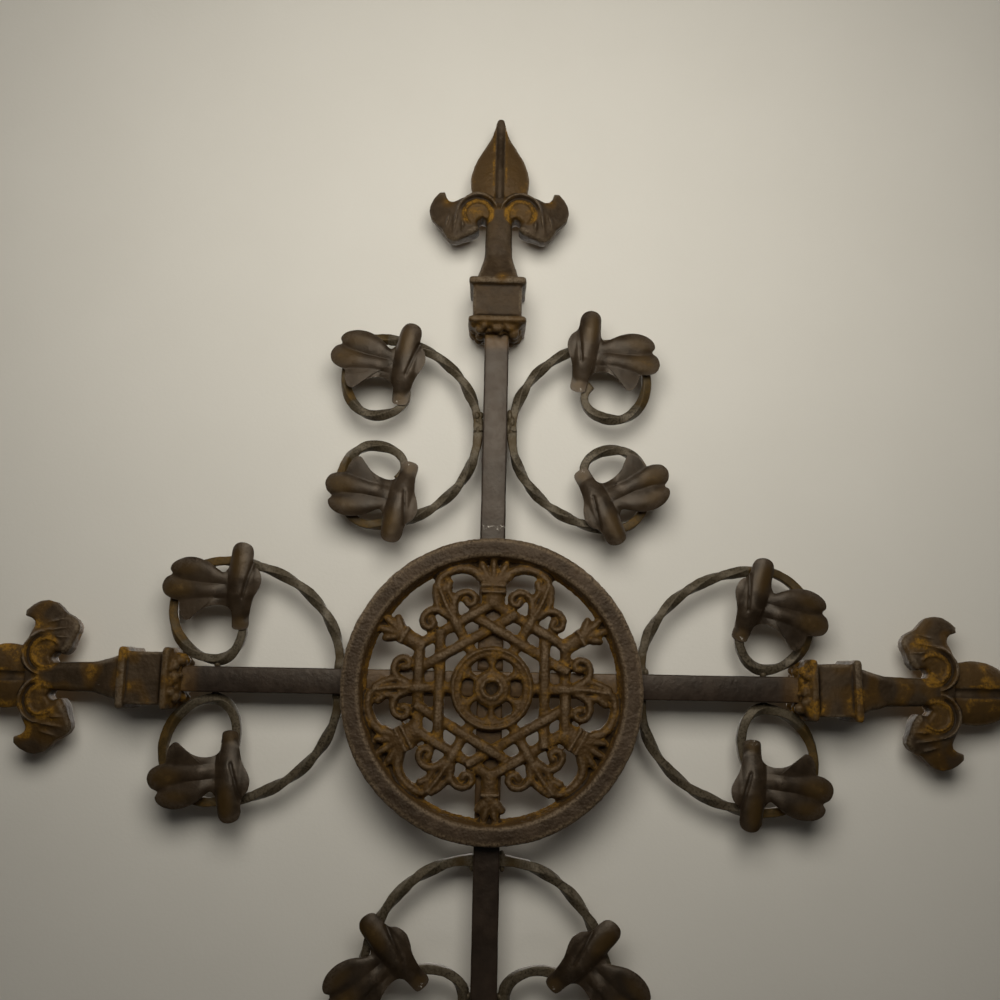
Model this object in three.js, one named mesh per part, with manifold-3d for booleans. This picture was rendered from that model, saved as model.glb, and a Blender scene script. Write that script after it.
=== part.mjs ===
// Iron wall cross: square bars, four cast fleur-de-lis finials, a pierced cast medallion over
// the crossing, and twisted wire scrolls that end in pressed leaves.
// Millimetres, +Z up, the front faces -Y. The origin is on the back of the bars at the crossing.
import * as THREE from 'three';
import { mergeVertices } from 'three/addons/utils/BufferGeometryUtils.js';
import Module from 'manifold-3d';

// Bars and arms; each arm is measured from the crossing to the inner end of its finial's collar
const BAR = 12.7;
const BAR_AXIS = -BAR / 2;
const SIDE_ARM = 157.6;
const TOP_ARM = 186;
const LOWER_ARM = 320;
const WELD_GAP = 0.3;
const SOCKET_DEPTH = 14;

// Finial: square collar and neck as [half width, height], measured from the collar's inner end
const FINIAL_SHAFT = [
  [0, -4.5], [8.2, -4.5], [12.4, 0], [14.4, 0], [14.4, 3], [12.9, 4.4], [12.9, 20.4],
  [14.4, 21.8], [14.4, 25], [9.6, 25.1], [7, 40], [6.4, 74], [0, 74],
];
const BLADE_WIDTHS = [[69, 11], [78, 15], [87, 16], [97, 13.2], [107, 7.4], [115, 3.6], [122.9, 1]];
const BLADE_THICKNESS = 9;
const BLADE_EDGE = 2;
const BLADE_GROOVE = 1.4;
// Right-hand side leaf of the fleur, from the neck round the lower curl and the hook to the blade
const SIDE_LEAF = [
  [2, 58], [6.8, 59], [9, 63.2], [11, 60], [9, 55.4], [23.5, 47.6], [28, 53.2],
  [35.7, 62.8], [37.7, 68.8], [35.4, 74.5], [31.5, 78], [26, 71.8], [14, 77.5], [2, 78],
];
const SIDE_LEAF_DEPTH = 8;
const SIDE_LEAF_BEVEL = 2.2;
const CRESCENT = { x: 11.6, z: 64, radius: 7.8, width: 4.6, depth: 16.5, from: 205, to: -40, steps: 5 };
const CRESCENT_TIP = 0.15;

// Medallion: its centre, welded a little low on the crossing, then its ring, rosette and straps
const MEDALLION_CENTRE = [1, -2];
const RING_OUTER = 74.5;
const RING_FACE_INNER = 65.5;
const RING_INNER = 62;
const RING_DEPTH = 8;
const RING_SIDES = 36;
const ROSETTE = [[0, 3.8], [4.6, 5.8], [7.6, 3.2], [16, 3.2], [18, 5.4], [20.4, 0], [0, 0]];
const ROSETTE_SIDES = 12;
const PETAL_HOLE = { radius: 3.3, at: 12, sides: 6 };
const STRAP = 5;
const STRAP_DEPTH = 5.2;
const STRAP_CROWN = 0.5;
const WEAVE = 0.9;
const INNER_SIDE = 26;
const OUTER_SIDE = 36.3;
const FOLDS = 6;
// Parts of one sixth of the pattern, [along its spoke, towards the small fleur], the spoke at 0
const SPOKE = { from: 18, to: 46 };
const VOLUTE = { x: 44, z: 9.4, radius: 5, from: 255, to: -30, width: 4, shrink: 0.62, steps: 5 };
const LEAF_BUNDLE = [[44, 0], [50, -1], [55.5, -2.5]];
const LEAF_BUNDLE_WIDTH = 8.5;
const LEAF_BUNDLE_TAPER = 0.35;
const ARCH = [[54, -1], [59.4, -3], [60.4, -10.5], [57.2, -18.5], [46.5, -24.5]];
const ARCH_WIDTH = 5;
// Fleurs between the spokes, sizes along their own axes: a short stem that opens in a fan of lobes
const GREAT_FLEUR = { stem: [44.5, 49.5], stemWidth: 12.4, reach: 63, spread: 24, lobes: 3, lobeWidth: 4.6 };
const SMALL_FLEUR = { stem: [38, 53], stemWidth: 8.6, reach: 63, spread: 20, lobes: 3, lobeWidth: 5 };
const GREAT_AXES = [90, 210, 330];
const SMALL_AXES = [30, 150, 270];
const LOBE_ROOT = 0.7;

// Twisted wire scrolls: square section, full turns of twist in the outer sweep, and the sweeps' sizes.
// A scroll half leaves its bar, sweeps out by reach and rise, and turns in through the eye and tail.
const WIRE = 4.3;
const TWIST_TURNS = 1;
const TOP_SCROLL = { reach: 54.5, rise: 50, eye: [16.5, 21], tail: [16.5, 11], height: 130 };
const ARM_SCROLL = { reach: 62, rise: 53, eye: [24, 25], tail: [12, 17] };
const SIDE_SCROLL_START = 75.5;
const LOWER_SCROLL_START = 84.5;
const SWEEP_STEPS = 13;
const TWIST_LEAD = 2;
const EYE_STEPS = 6;
const TAIL_STEPS = 4;
const TAIL_END = 140;

// Pressed leaf: outline as [out towards its broad lobes, up its single lobe] from the tab at its base
const LEAF_OUTLINE = [
  [-3.5, -1.5], [-4.5, 12], [-9.8, 25], [-5, 37], [1, 41.5], [6.5, 35.5], [10, 25.6], [20, 31.5],
  [29.5, 33.8], [36, 28], [40.5, 18.5], [33.5, 11], [26, 2.5], [16, 9.8], [6, 9], [4, -1.5],
];
const LEAF_HUB = [5.5, 21];
const LEAF_SHEET = 1.2;
const LEAF_RISE = 7;
const LEAF_SHOULDER = 0.75;
const LEAF_FLUTE = 2.2;
const LEAF_RIDGES = [2, 4, 8, 10, 12];
const LEAF_MIDDLE = 0.55;

const DEGREE = Math.PI / 180;
const IRON = { color: 0x463a30, roughness: 0.62, metalness: 0.75 };
const CAST = { color: 0x4f4031, roughness: 0.8, metalness: 0.6 };
const SHEET = { color: 0x5a4c3f, roughness: 0.5, metalness: 0.75 };

const wasm = await Module();
wasm.setup();

// Signed volume of a triangle list, negative when its faces point inward
function signedVolume(points, triangles) {
  const corner = (i) => new THREE.Vector3().fromArray(points, 3 * i);
  let sum = 0;
  for (let t = 0; t < triangles.length; t += 3) {
    const [a, b, c] = [corner(triangles[t]), corner(triangles[t + 1]), corner(triangles[t + 2])];
    sum += a.dot(b.cross(c)) / 6;
  }
  return sum;
}

// Closed geometry as a solid, with its shared corners merged and its faces pointing out
function toSolid(geometry) {
  const bare = geometry.clone();
  bare.deleteAttribute('normal');
  bare.deleteAttribute('uv');
  const welded = mergeVertices(bare, 1e-3);
  const vertProperties = new Float32Array(welded.attributes.position.array);
  const corners = welded.index.array;
  const kept = [];
  for (let t = 0; t < corners.length; t += 3) {
    const [a, b, c] = [corners[t], corners[t + 1], corners[t + 2]];
    if (a !== b && b !== c && c !== a) kept.push(a, b, c);
  }
  if (signedVolume(vertProperties, kept) < 0) kept.reverse();
  const mesh = new wasm.Mesh({ numProp: 3, vertProperties, triVerts: new Uint32Array(kept) });
  return new wasm.Manifold(mesh);
}

function toGeometry(solid) {
  const mesh = solid.getMesh();
  const geometry = new THREE.BufferGeometry();
  geometry.setAttribute('position', new THREE.BufferAttribute(new Float32Array(mesh.vertProperties), 3));
  geometry.setIndex(new THREE.BufferAttribute(new Uint32Array(mesh.triVerts), 1));
  geometry.computeVertexNormals();
  return geometry;
}

function join(geometries) {
  return geometries.map(toSolid).reduce((whole, piece) => whole.add(piece));
}

// Closed skin over a row of rings of equal length, with flat ends
function loft(rings) {
  const count = rings[0].length;
  const last = (rings.length - 1) * count;
  const index = [];
  for (let ring = 0; ring < last; ring += count) {
    for (let j = 0; j < count; j++) {
      const next = (j + 1) % count;
      index.push(ring + j, ring + next, ring + count + next);
      index.push(ring + j, ring + count + next, ring + count + j);
    }
  }
  for (let j = 1; j + 1 < count; j++) {
    index.push(0, j + 1, j, last, last + j, last + j + 1);
  }
  const geometry = new THREE.BufferGeometry().setFromPoints(rings.flat());
  geometry.setIndex(index);
  return geometry;
}

// Left-hand normals along a flat path of Vector2
function pathNormals(path) {
  return path.map((point, i) => {
    const ahead = path[Math.min(i + 1, path.length - 1)];
    const behind = path[Math.max(i - 1, 0)];
    const along = ahead.clone().sub(behind).normalize();
    return new THREE.Vector2(-along.y, along.x);
  });
}

// Cast strap along a flat path of [x, z]: a flat back at y = 0 and a crown, or a ridge, in front
function strap(points, width, depth, crown = 0) {
  const path = points.map(([x, z]) => new THREE.Vector2(x, z));
  const normals = pathNormals(path);
  const at = (value, t) => (typeof value === 'function' ? value(t) : value);
  return loft(path.map((point, i) => {
    const t = i / (path.length - 1);
    const half = at(width, t) / 2;
    const front = -at(depth, t);
    const corner = (side, y) => {
      const shifted = point.clone().addScaledVector(normals[i], side);
      return new THREE.Vector3(shifted.x, y, shifted.y);
    };
    const face = crown ? [half * crown, -half * crown] : [0];
    return [corner(-half, 0), corner(half, 0), ...face.map((side) => corner(side, front))];
  }));
}

// Points of an elliptical arc in the X-Z plane, angles in degrees
function arc(x, z, radiusX, radiusZ, from, to, steps) {
  return Array.from({ length: steps + 1 }, (_, i) => {
    const angle = (from + ((to - from) * i) / steps) * DEGREE;
    return [x + radiusX * Math.cos(angle), z + radiusZ * Math.sin(angle)];
  });
}

// Spiral that closes in from the radius to the shrunken radius
function spiral({ x, z, radius, from, to, shrink, steps }, side) {
  return Array.from({ length: steps + 1 }, (_, i) => {
    const t = i / steps;
    const angle = (from + (to - from) * t) * DEGREE;
    const reach = radius * (1 + (shrink - 1) * t);
    return [x + reach * Math.cos(angle), side * (z + reach * Math.sin(angle))];
  });
}

// Bars: the cross bar runs through behind the medallion, the upper and lower bars butt against it
function bar(name, across, low, high) {
  const length = high - low;
  const size = across ? [length, BAR, BAR] : [BAR, BAR, length];
  const mesh = new THREE.Mesh(new THREE.BoxGeometry(...size), new THREE.MeshStandardMaterial(IRON));
  const middle = (low + high) / 2;
  mesh.position.set(across ? middle : 0, BAR_AXIS, across ? 0 : middle);
  mesh.name = name;
  return mesh;
}

// Finial along +Z from its collar's inner end, the bar's axis at x = y = 0
function finialGeometry() {
  const profile = FINIAL_SHAFT.map(([half, height]) => new THREE.Vector2(half * Math.SQRT2, height));
  const shaft = new THREE.LatheGeometry(profile, 4, Math.PI / 4).rotateX(Math.PI / 2);

  const widest = Math.max(...BLADE_WIDTHS.map(([, half]) => half));
  const blade = loft(BLADE_WIDTHS.map(([height, half]) => {
    const edge = Math.min(BLADE_EDGE / 2, half);
    const crest = edge + (half / widest) * (BLADE_THICKNESS - BLADE_EDGE) / 2;
    const groove = crest - (half / widest) * BLADE_GROOVE;
    const face = [[half, edge], [half / 2, crest], [0, groove], [-half / 2, crest], [-half, edge]];
    const back = [[half, edge], [0, crest], [-half, edge]];
    const ring = [...face.map(([x, y]) => [x, -y]), ...back.reverse()];
    return ring.map(([x, y]) => new THREE.Vector3(x, y, height));
  }));

  const sides = [1, -1].flatMap((side) => {
    const outline = new THREE.Shape(SIDE_LEAF.map(([x, z]) => new THREE.Vector2(side * x, z)));
    const leaf = new THREE.ExtrudeGeometry(outline, {
      depth: SIDE_LEAF_DEPTH,
      bevelSize: SIDE_LEAF_BEVEL / 2,
      bevelOffset: -SIDE_LEAF_BEVEL / 2,
      bevelThickness: SIDE_LEAF_BEVEL,
      bevelSegments: 1,
    });
    leaf.rotateX(Math.PI / 2).translate(0, SIDE_LEAF_DEPTH / 2, 0);
    const { x, z, radius, width, depth, from, to, steps } = CRESCENT;
    const crescent = loft(Array.from({ length: steps + 1 }, (_, i) => {
      const angle = (from + ((to - from) * i) / steps) * DEGREE;
      const swell = Math.sin(Math.PI * (CRESCENT_TIP + (1 - 2 * CRESCENT_TIP) * (i / steps)));
      const at = (reach, y) => new THREE.Vector3(
        side * (x + reach * Math.cos(angle)), y, z + reach * Math.sin(angle),
      );
      const half = (width / 2) * swell;
      return [at(radius - half, 0), at(radius, depth / 2), at(radius + half, 0), at(radius, -depth / 2)];
    }));
    return [leaf, crescent];
  });

  const inside = BAR + 2 * WELD_GAP;
  const socketLow = FINIAL_SHAFT[0][1] - 1;
  const socket = new THREE.BoxGeometry(inside, inside, SOCKET_DEPTH - socketLow);
  socket.translate(0, 0, (SOCKET_DEPTH + socketLow) / 2);
  return toGeometry(join([shaft, blade, ...sides]).subtract(toSolid(socket)));
}

// Medallion about the Y axis, its back at y = 0
function medallionGeometry() {
  const lathe = (profile, sides) => {
    const points = profile.map(([radius, depth]) => new THREE.Vector2(radius, -depth));
    return new THREE.LatheGeometry(points, sides);
  };
  const ring = lathe([
    [RING_INNER, 0], [RING_FACE_INNER, RING_DEPTH], [RING_OUTER, RING_DEPTH],
    [RING_OUTER, 0], [RING_INNER, 0],
  ], RING_SIDES);
  const pieces = [ring];
  const turned = (geometry, degrees) => geometry.rotateY(-degrees * DEGREE);

  const vertex = (side) => side / Math.cos(30 * DEGREE);
  const halfInner = vertex(INNER_SIDE) / 2;
  const overrun = (OUTER_SIDE - INNER_SIDE) / Math.cos(30 * DEGREE);
  const halfOuter = vertex(OUTER_SIDE) / 2;
  for (let fold = 0; fold < FOLDS; fold++) {
    const angle = (fold * 360) / FOLDS;
    // The small fleur lies alternately to either side of a spoke
    const toSmall = fold % 2 ? -1 : 1;
    const reach = halfInner + overrun;
    const innerPath = [-reach, -halfInner, halfInner, reach].map((z) => [INNER_SIDE, z]);
    const woven = (t) => STRAP_DEPTH + WEAVE * (2 * t - 1);
    pieces.push(turned(strap(innerPath, STRAP, woven, STRAP_CROWN), angle));
    const outerPath = [-halfOuter, halfOuter].map((z) => [OUTER_SIDE, z]);
    pieces.push(turned(strap(outerPath, STRAP, STRAP_DEPTH, STRAP_CROWN), angle));
    pieces.push(turned(strap([[SPOKE.from, 0], [SPOKE.to, 0]], STRAP, STRAP_DEPTH, STRAP_CROWN), angle));
    for (const side of [1, -1]) {
      const curl = spiral(VOLUTE, side);
      pieces.push(turned(strap(curl, VOLUTE.width, STRAP_DEPTH), angle));
    }
    const flip = (points) => points.map(([x, z]) => [x, toSmall * z]);
    const bundle = (t) => LEAF_BUNDLE_WIDTH * (1 - LEAF_BUNDLE_TAPER * t);
    pieces.push(turned(strap(flip(LEAF_BUNDLE), bundle, STRAP_DEPTH + WEAVE), angle));
    pieces.push(turned(strap(flip(ARCH), ARCH_WIDTH, STRAP_DEPTH), angle));
  }

  const fleur = ({ stem, stemWidth, reach, spread, lobes, lobeWidth }, axis) => {
    const stemPath = stem.map((along) => [along, 0]);
    pieces.push(turned(strap(stemPath, stemWidth, STRAP_DEPTH + WEAVE, STRAP_CROWN), axis));
    for (let lobe = 0; lobe < lobes; lobe++) {
      const lean = (lobe - (lobes - 1) / 2) * spread * DEGREE;
      const root = stem[1] - lobeWidth / 2;
      const length = (reach - root) * Math.cos(lean);
      const tip = [root + length * Math.cos(lean), length * Math.sin(lean)];
      const swell = (t) => lobeWidth * (LOBE_ROOT + (1 - LOBE_ROOT) * t);
      pieces.push(turned(strap([[root, 0], tip], swell, STRAP_DEPTH), axis));
    }
  };
  for (const axis of GREAT_AXES) fleur(GREAT_FLEUR, axis);
  for (const axis of SMALL_AXES) fleur(SMALL_FLEUR, axis);

  let solid = join([...pieces, lathe(ROSETTE, ROSETTE_SIDES)]);
  for (let fold = 0; fold < FOLDS; fold++) {
    const { radius, at, sides } = PETAL_HOLE;
    const hole = new THREE.CylinderGeometry(radius, radius, 4 * RING_DEPTH, sides).translate(at, 0, 0);
    solid = solid.subtract(toSolid(turned(hole, (fold * 360) / FOLDS)));
  }
  return toGeometry(solid);
}

// Flat path of one scroll half as [out, up] from the point where it leaves its bar
function scrollPath({ reach, rise, eye, tail }) {
  const sweep = arc(reach, 0, reach, rise, 180, 90, SWEEP_STEPS);
  const turn = arc(reach, rise - eye[1], eye[0], eye[1], 90, -90, EYE_STEPS);
  const end = arc(reach, rise - 2 * eye[1] + tail[1], tail[0], tail[1], 270, TAIL_END, TAIL_STEPS);
  return [...sweep, ...turn.slice(1), ...end.slice(1)];
}

// Wire rings along one scroll half; the square section turns through the twist in the sweep, and the
// hand of its two ways keeps every wire twisted the same way round
function wireRings(size, hand, place) {
  const path = scrollPath(size).map(([out, up]) => new THREE.Vector2(out, up));
  const normals = pathNormals(path);
  return path.map((point, i) => {
    const twisted = THREE.MathUtils.clamp((i - TWIST_LEAD) / (SWEEP_STEPS - TWIST_LEAD), 0, 1);
    const twist = hand * twisted * TWIST_TURNS * 2 * Math.PI;
    const corners = [[1, 1], [-1, 1], [-1, -1], [1, -1]];
    return corners.map(([a, b]) => {
      const across = (WIRE / 2) * (a * Math.cos(twist) - b * Math.sin(twist));
      const deep = (WIRE / 2) * (a * Math.sin(twist) + b * Math.cos(twist));
      const shifted = point.clone().addScaledVector(normals[i], across);
      return place(shifted.x, shifted.y, deep);
    });
  });
}

// Leaf from its tab at [0, 0]: a thin sheet that swells forward, ridged along each lobe
function leafSheet(place) {
  const hub = new THREE.Vector2(...LEAF_HUB);
  const rim = LEAF_OUTLINE.map(([out, up]) => new THREE.Vector2(out, up));
  const ridge = (i) => (LEAF_RIDGES.includes(i) ? 1 : -1);
  const isTab = (i) => i === 0 || i === rim.length - 1;
  const middle = rim.map((point) => hub.clone().lerp(point, LEAF_MIDDLE));
  const middleRise = (i) => LEAF_RISE * LEAF_SHOULDER + (LEAF_FLUTE * ridge(i)) / 2;
  const rimRise = (i) => (isTab(i) ? 0 : LEAF_FLUTE * (1 + ridge(i) / 4));
  const points = [];
  for (const depth of [0, LEAF_SHEET]) {
    points.push(place(hub.x, hub.y, LEAF_RISE + depth));
    middle.forEach((p, i) => points.push(place(p.x, p.y, middleRise(i) + depth)));
    rim.forEach((p, i) => points.push(place(p.x, p.y, rimRise(i) + depth)));
  }
  const count = rim.length;
  const front = 2 * count + 1;
  const index = [];
  for (let j = 0; j < count; j++) {
    const next = (j + 1) % count;
    const [a, b, c, d] = [1 + j, 1 + next, 1 + count + j, 1 + count + next];
    const back = [0, a, b, a, c, d, a, d, b];
    index.push(...back);
    for (let t = 0; t < back.length; t += 3) {
      index.push(front + back[t], front + back[t + 2], front + back[t + 1]);
    }
    index.push(c, front + c, front + d, c, front + d, d);
  }
  const geometry = new THREE.BufferGeometry().setFromPoints(points);
  geometry.setIndex(index);
  return geometry;
}

function named(name, geometry, finish) {
  const mesh = new THREE.Mesh(toGeometry(toSolid(geometry)), new THREE.MeshStandardMaterial(finish));
  mesh.name = name;
  return mesh;
}

const cross = new THREE.Group();
const barEnd = SOCKET_DEPTH - WELD_GAP;
const butt = BAR / 2 + WELD_GAP;
cross.add(bar('cross_bar', true, -SIDE_ARM - barEnd, SIDE_ARM + barEnd));
cross.add(bar('upper_bar', false, butt, TOP_ARM + barEnd));
cross.add(bar('lower_bar', false, -LOWER_ARM - barEnd, -butt));

const finialShape = finialGeometry();
const finials = [
  ['top', 0, 0, TOP_ARM], ['right', 90, SIDE_ARM, 0],
  ['bottom', 180, 0, -LOWER_ARM], ['left', 270, -SIDE_ARM, 0],
];
for (const [end, turn, x, z] of finials) {
  const finial = new THREE.Mesh(finialShape, new THREE.MeshStandardMaterial(CAST));
  finial.position.set(x, BAR_AXIS, z);
  finial.rotation.y = turn * DEGREE;
  finial.name = `finial_${end}`;
  cross.add(finial);
}

const medallion = new THREE.Mesh(medallionGeometry(), new THREE.MeshStandardMaterial(CAST));
medallion.position.set(MEDALLION_CENTRE[0], -BAR - WELD_GAP, MEDALLION_CENTRE[1]);
medallion.name = 'medallion';
cross.add(medallion);

// Scroll halves: where each leaves its bar, the ways it runs out and up, and how its leaf was set:
// the lean in degrees, and the slip of the leaf's tab along those two ways from the side of the eye
const beside = BAR / 2 + WIRE / 2 + WELD_GAP;
const onBar = BAR / 2 + WELD_GAP;
const [left, right, upward, downward] = [[-1, 0], [1, 0], [0, 1], [0, -1]];
const half = (name, size, start, out, up, lean, slip) => ({ name, size, start, out, up, lean, slip });
const above = TOP_SCROLL.height + WELD_GAP / 2;
const below = TOP_SCROLL.height - WELD_GAP / 2;
const halves = [
  half('top_left_upper', TOP_SCROLL, [-beside, above], left, upward, 9, [3.4, -4]),
  half('top_left_lower', TOP_SCROLL, [-beside, below], left, downward, -12, [-3.3, 0]),
  half('top_right_upper', TOP_SCROLL, [beside, above], right, upward, -9, [-3.5, 5]),
  half('top_right_lower', TOP_SCROLL, [beside, below], right, downward, -27, [-1.5, 2.6]),
  half('left_upper', ARM_SCROLL, [-SIDE_SCROLL_START, onBar], left, upward, 1, [1, 0]),
  half('left_lower', ARM_SCROLL, [-SIDE_SCROLL_START, -onBar], left, downward, 5, [2.4, 0]),
  half('right_upper', ARM_SCROLL, [SIDE_SCROLL_START, onBar], right, upward, -18, [0, -1]),
  half('right_lower', ARM_SCROLL, [SIDE_SCROLL_START, -onBar], right, downward, 5, [5, 0]),
  half('bottom_left', ARM_SCROLL, [-onBar, -LOWER_SCROLL_START], downward, left, 48, [6, 3]),
  half('bottom_right', ARM_SCROLL, [onBar, -LOWER_SCROLL_START], downward, right, 45, [6, 6]),
];
const sheetBack = BAR_AXIS - WIRE / 2 - WELD_GAP;
for (const { name, size, start, out, up, lean, slip } of halves) {
  const place = (along, rise, y) => new THREE.Vector3(
    start[0] + along * out[0] + rise * up[0], y, start[1] + along * out[1] + rise * up[1],
  );
  const hand = out[0] * up[1] - out[1] * up[0];
  const rings = wireRings(size, hand, (along, rise, deep) => place(along, rise, BAR_AXIS + deep));
  cross.add(named(`scroll_${name}`, loft(rings), IRON));

  const tabOut = size.reach - size.tail[0] + slip[0];
  const tabUp = size.rise - 2 * size.eye[1] + size.tail[1] + slip[1];
  const turn = lean * DEGREE;
  cross.add(named(`leaf_${name}`, leafSheet((o, u, height) => place(
    tabOut + o * Math.cos(turn) - u * Math.sin(turn),
    tabUp + o * Math.sin(turn) + u * Math.cos(turn),
    sheetBack - height,
  )), SHEET));
}

export default cross;
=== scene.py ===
"""Looks of the iron wall cross: each piece is worked finer than its solid, in the same frame.

Sizes are in millimetres and become metres as each mesh is made; the wall and the lamps are in metres.
The front faces -Y.
"""
import math
import random
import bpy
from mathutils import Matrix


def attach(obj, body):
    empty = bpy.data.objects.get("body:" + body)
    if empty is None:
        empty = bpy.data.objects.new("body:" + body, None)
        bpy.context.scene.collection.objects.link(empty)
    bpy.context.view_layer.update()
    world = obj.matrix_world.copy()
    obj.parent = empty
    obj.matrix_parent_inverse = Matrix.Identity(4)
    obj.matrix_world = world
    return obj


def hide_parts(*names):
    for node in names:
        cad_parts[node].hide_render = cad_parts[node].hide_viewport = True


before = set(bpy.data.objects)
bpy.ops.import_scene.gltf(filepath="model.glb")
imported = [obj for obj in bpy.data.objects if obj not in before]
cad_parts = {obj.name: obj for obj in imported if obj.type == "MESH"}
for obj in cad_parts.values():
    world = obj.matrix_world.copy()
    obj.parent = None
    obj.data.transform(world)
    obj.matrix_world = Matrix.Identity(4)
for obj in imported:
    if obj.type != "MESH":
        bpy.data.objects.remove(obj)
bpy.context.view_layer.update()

from types import SimpleNamespace as Values

import bmesh
import bpy
import numpy as np
from mathutils import Matrix, Vector, noise

METRE = 0.001

# Bars and arms
BAR = 12.7
BAR_AXIS = -BAR / 2
BAR_CORNER = 0.9
BAR_STEP = 2.0
SIDE_ARM = 157.6
TOP_ARM = 186.0
LOWER_ARM = 320.0
WELD_GAP = 0.3
SOCKET_DEPTH = 14.0
BAR_FOOT = 79.0
BAR_FOOT_CHALK = 5.0
BEHIND_RING = 66.0

# Twisted wire scrolls
WIRE = 4.3
WIRE_CORNER = 0.55
TWIST_TURNS = 1
TWIST_LEAD = 2 / 13
TWIST_LUMP = 0.07
EYE_LEAD = 0.35
EYE_TURNS = 0.5
SWEEP_POINTS = 100
EYE_POINTS = 44
TAIL_POINTS = 30
TAIL_END = 140
WELD_SWELL = 0.28
WELD_REACH = 4.5
WELD_ROOT = 0.9
WELD_BEAD = (1.3, 2.2)
EYE_BEAD = 1.9
WELD_OUT = (0.2, 2.0)
WELD_DRAWN = (1.0, 2.0)
BUTT_WELD = Values(beads=6, out=(-2.0, 0.8), up=(0.4, 9.5))
FOOT_WELD = Values(beads=4, out=(-2.8, 2.8), up=(-0.6, 1.2))
TOP_SCROLL = Values(reach=54.5, rise=50.0, eye=(16.5, 21.0), tail=(16.5, 11.0))
ARM_SCROLL = Values(reach=62.0, rise=53.0, eye=(24.0, 25.0), tail=(12.0, 17.0))
TOP_SCROLL_HEIGHT = 130.0
SIDE_SCROLL_START = 75.5
LOWER_SCROLL_START = 84.5

# Pressed leaf rim from its tab, as (out towards the broad lobes, up the single lobe)
LEAF_RIM = [
    (-3.6, -1.0), (-4.2, 6.0), (-5.6, 13.0), (-8.4, 18.5), (-9.6, 23.0), (-8.4, 27.5), (-5.8, 30.2),
    (-4.9, 33.0), (-4.8, 37.0), (-3.8, 39.9), (-1.6, 41.4), (1.2, 41.8), (4.0, 41.0), (5.8, 38.6),
    (6.4, 35.0), (6.8, 31.0), (7.8, 28.0), (9.8, 26.4), (13.0, 28.4), (18.0, 31.6), (24.0, 33.3),
    (30.0, 33.0), (34.6, 30.8), (36.4, 27.6), (35.4, 24.9), (38.6, 22.6), (40.2, 18.6), (38.8, 14.6),
    (35.0, 12.3), (31.2, 11.2), (30.4, 7.4), (28.6, 3.4), (25.6, 1.9), (22.4, 4.4), (18.6, 7.6),
    (14.0, 9.6), (9.6, 10.0), (6.2, 8.6), (4.4, 5.0), (3.6, -1.4),
]
LEAF_HUB = (6.0, 20.0)
LEAF_RIM_POINTS = 200
LEAF_RINGS = 27
LEAF_SHEET = 1.1
LEAF_SHARP = 50
RIM_THIN = 0.35
# Single lobe: its spine's height up the leaf, the half tube about it, and the bulge and crease beside it
SPINE = [
    (-1.0, 0.0), (4.0, 0.5), (10.0, 2.8), (16.0, 4.6), (24.0, 5.4), (32.0, 5.3), (38.0, 4.9), (42.0, 4.4),
]
SPINE_OUT = 1.0
TUBE_HALF = 5.6
TUBE_FALL = 1.7
TUBE_LIMIT = 1.2
BULGE = (0.6, (-6.2, 23.0), (2.8, 8.0))
CREASE = Values(top=(-4.8, 31.5), foot=(-0.6, 14.0), wide=0.8, deep=0.75)
# Broad lobes: lines beyond their top edge, in two valleys and below, as (out, up), and each lobe's arch
LOBE_LINES = [
    [(8.0, 29.0), (16.0, 34.0), (22.0, 36.4), (28.0, 37.0), (33.0, 36.0), (41.0, 33.0)],
    [(8.0, 20.4), (20.0, 20.8), (30.0, 22.2), (36.0, 24.8), (41.0, 25.2)],
    [(8.0, 13.4), (18.0, 13.6), (26.0, 12.6), (33.0, 11.2), (41.0, 10.6)],
    [(6.0, 5.4), (10.0, 6.2), (15.0, 5.4), (20.0, 2.6), (25.0, -1.6), (30.0, 0.0), (41.0, 5.4)],
]
LOBE_ARCHES = (1.15, 1.0, 0.45)
LOBE_SHARP = 2.0
CROWN = Values(out=19.0, half=22.0, rise=4.3, fall=2.2)
BACK_TURN = Values(reach=9.0, fall=2.0)
WEB = (4.5, 15.0)

# Fleur-de-lis finial, heights from the inner end of its collar
SHAFT = [
    # height, half width, corner radius
    (-4.5, 8.4, 2.6), (-3.2, 10.4, 3.0), (-0.8, 12.8, 3.2), (0.0, 14.4, 2.6), (0.8, 15.1, 2.0),
    (2.4, 15.1, 2.0), (3.2, 14.6, 2.0), (3.9, 12.9, 1.6), (4.6, 12.8, 1.3), (12.0, 12.9, 1.3),
    (20.2, 12.8, 1.3), (20.9, 12.9, 1.6), (21.5, 14.6, 2.0), (22.3, 15.0, 2.0), (24.2, 15.0, 2.0),
    (24.9, 14.4, 2.2), (25.2, 11.3, 2.6), (27.0, 10.9, 2.8), (31.0, 9.7, 3.0), (35.0, 8.7, 3.2),
    (38.0, 7.9, 3.4), (41.0, 7.4, 3.6), (48.0, 7.2, 3.8), (58.0, 7.0, 3.8), (66.0, 6.6, 3.8),
    (74.0, 5.6, 3.4),
]
MOUTH_BEADS = 46
MOUTH_BEAD = (1.2, 2.7)
MOUTH_BEAD_DRAWN = (0.6, 1.3)
MOUTH_RING = (8.6, 12.4)
MOUTH_DEPTH = (-4.4, -0.6)
BLADE = [
    # height, half width
    (58.0, 5.0), (64.0, 8.5), (70.0, 11.8), (74.0, 13.8), (78.0, 15.1), (83.0, 15.9), (87.0, 16.0),
    (92.0, 15.0), (97.0, 13.1), (102.0, 10.2), (107.0, 7.3), (111.0, 5.1), (115.0, 3.6), (119.0, 2.6),
    (121.6, 1.9), (122.9, 0.9),
]
BLADE_EDGE = 1.1
BLADE_SWELL = 3.5
BLADE_GROOVE = 1.7
BLADE_GROOVE_HALF = 2.0
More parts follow.
